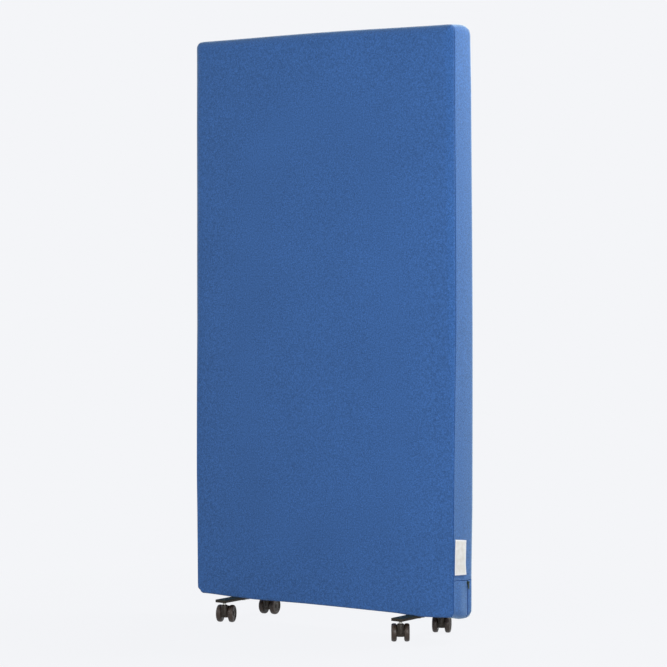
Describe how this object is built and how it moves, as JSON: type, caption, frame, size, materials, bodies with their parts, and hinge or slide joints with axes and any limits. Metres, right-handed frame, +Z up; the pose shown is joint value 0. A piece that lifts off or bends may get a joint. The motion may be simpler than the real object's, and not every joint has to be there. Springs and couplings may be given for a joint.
{
  "type": "rolling partition",
  "caption": "Free-standing padded screen covered in felted fabric with a zip cover, on two flat steel feet with twin-wheel swivel castors.",
  "frame": {"origin": "on the floor, below the centre of the panel's footprint and midway between the two feet", "axes": "+X along the panel's width, to the right as seen from the front; -Y towards the front face; +Z up"},
  "size_m": [0.9083, 0.2626, 1.673],
  "materials": {
    "felt_face": "matte",
    "felt_side": "matte",
    "zip_tape": "matte",
    "zip_metal": "satin",
    "label": "satin",
    "foam": "matte",
    "board": "matte",
    "infill": "matte",
    "timber": "matte",
    "zinc": "satin",
    "black_steel": "satin",
    "castor_plastic": "satin",
    "tyre": "satin"
  },
  "bodies": {
    "root": {"cover_front": "felt_face", "cover_back": "felt_face", "cover_sides": "felt_side", "cover_bottom": "felt_side", "zip_tapes": "zip_tape", "zip_teeth": "zip_tape", "zip_stops": "zip_metal", "side_label": "label", "foam_front": "foam", "foam_back": "foam", "foam_left": "foam", "foam_right": "foam", "foam_top": "foam", "board_front": "board", "board_back": "board", "infill_upper": "infill", "infill_lower": "infill", "frame_stile_left": "timber", "frame_stile_right": "timber", "frame_rail_top": "timber", "frame_rail_middle": "timber", "frame_rail_bottom": "timber", "frame_screws": "zinc", "insert_nuts": "zinc", "foot_plates": "zinc", "foot_left": "black_steel", "foot_right": "black_steel", "foot_bolts": "zinc", "castor_stems": "zinc", "castor_rings": "zinc"},
    "castor_front_left": {"front_left_yoke": "castor_plastic", "front_left_axle": "zinc"},
    "wheel_front_left_left": {"front_left_wheel_left": "castor_plastic", "front_left_tyre_left": "tyre"},
    "wheel_front_left_right": {"front_left_wheel_right": "castor_plastic", "front_left_tyre_right": "tyre"},
    "castor_rear_left": {"rear_left_yoke": "castor_plastic", "rear_left_axle": "zinc"},
    "wheel_rear_left_left": {"rear_left_wheel_left": "castor_plastic", "rear_left_tyre_left": "tyre"},
    "wheel_rear_left_right": {"rear_left_wheel_right": "castor_plastic", "rear_left_tyre_right": "tyre"},
    "castor_front_right": {"front_right_yoke": "castor_plastic", "front_right_axle": "zinc"},
    "wheel_front_right_left": {"front_right_wheel_left": "castor_plastic", "front_right_tyre_left": "tyre"},
    "wheel_front_right_right": {"front_right_wheel_right": "castor_plastic", "front_right_tyre_right": "tyre"},
    "castor_rear_right": {"rear_right_yoke": "castor_plastic", "rear_right_axle": "zinc"},
    "wheel_rear_right_left": {"rear_right_wheel_left": "castor_plastic", "rear_right_tyre_left": "tyre"},
    "wheel_rear_right_right": {"rear_right_wheel_right": "castor_plastic", "rear_right_tyre_right": "tyre"},
    "zip_runner": {"zip_slider": "zip_metal"},
    "zip_tab": {"zip_pull": "zip_metal"}
  },
  "joints": [
    {"name": "swivel_front_left", "type": "hinge", "parent": "root", "child": "castor_front_left", "pos_m": [-0.309, -0.0975, 0.052], "axis": [0, 0, 1], "continuous": true},
    {"name": "roll_front_left_left", "type": "hinge", "parent": "castor_front_left", "child": "wheel_front_left_left", "pos_m": [-0.31603, -0.08093, 0.025], "axis": [0.9205, 0.3907, 0], "continuous": true},
    {"name": "roll_front_left_right", "type": "hinge", "parent": "castor_front_left", "child": "wheel_front_left_right", "pos_m": [-0.31603, -0.08093, 0.025], "axis": [0.9205, 0.3907, 0], "continuous": true},
    {"name": "swivel_rear_left", "type": "hinge", "parent": "root", "child": "castor_rear_left", "pos_m": [-0.309, 0.0975, 0.052], "axis": [0, 0, 1], "continuous": true},
    {"name": "roll_rear_left_left", "type": "hinge", "parent": "castor_rear_left", "child": "wheel_rear_left_left", "pos_m": [-0.31213, 0.11523, 0.025], "axis": [0.9848, 0.1736, 0], "continuous": true},
    {"name": "roll_rear_left_right", "type": "hinge", "parent": "castor_rear_left", "child": "wheel_rear_left_right", "pos_m": [-0.31213, 0.11523, 0.025], "axis": [0.9848, 0.1736, 0], "continuous": true},
    {"name": "swivel_front_right", "type": "hinge", "parent": "root", "child": "castor_front_right", "pos_m": [0.309, -0.0975, 0.052], "axis": [0, 0, 1], "continuous": true},
    {"name": "roll_front_right_left", "type": "hinge", "parent": "castor_front_right", "child": "wheel_front_right_left", "pos_m": [0.29842, -0.08294, 0.025], "axis": [0.809, 0.5878, 0], "continuous": true},
    {"name": "roll_front_right_right", "type": "hinge", "parent": "castor_front_right", "child": "wheel_front_right_right", "pos_m": [0.29842, -0.08294, 0.025], "axis": [0.809, 0.5878, 0], "continuous": true},
    {"name": "swivel_rear_right", "type": "hinge", "parent": "root", "child": "castor_rear_right", "pos_m": [0.309, 0.0975, 0.052], "axis": [0, 0, 1], "continuous": true},
    {"name": "roll_rear_right_left", "type": "hinge", "parent": "castor_rear_right", "child": "wheel_rear_right_left", "pos_m": [0.30083, 0.11354, 0.025], "axis": [0.891, 0.454, 0], "continuous": true},
    {"name": "roll_rear_right_right", "type": "hinge", "parent": "castor_rear_right", "child": "wheel_rear_right_right", "pos_m": [0.30083, 0.11354, 0.025], "axis": [0.891, 0.454, 0], "continuous": true},
    {"name": "zip_slide", "type": "slide", "parent": "root", "child": "zip_runner", "axis": [0, 0, -1], "range_m": [0, 0.0697]},
    {"name": "zip_pull_hinge", "type": "hinge", "parent": "zip_runner", "child": "zip_tab", "pos_m": [0.45389, 0.0195, 0.1637], "axis": [0, -1, 0], "range_deg": [0, 165]}
  ]
}
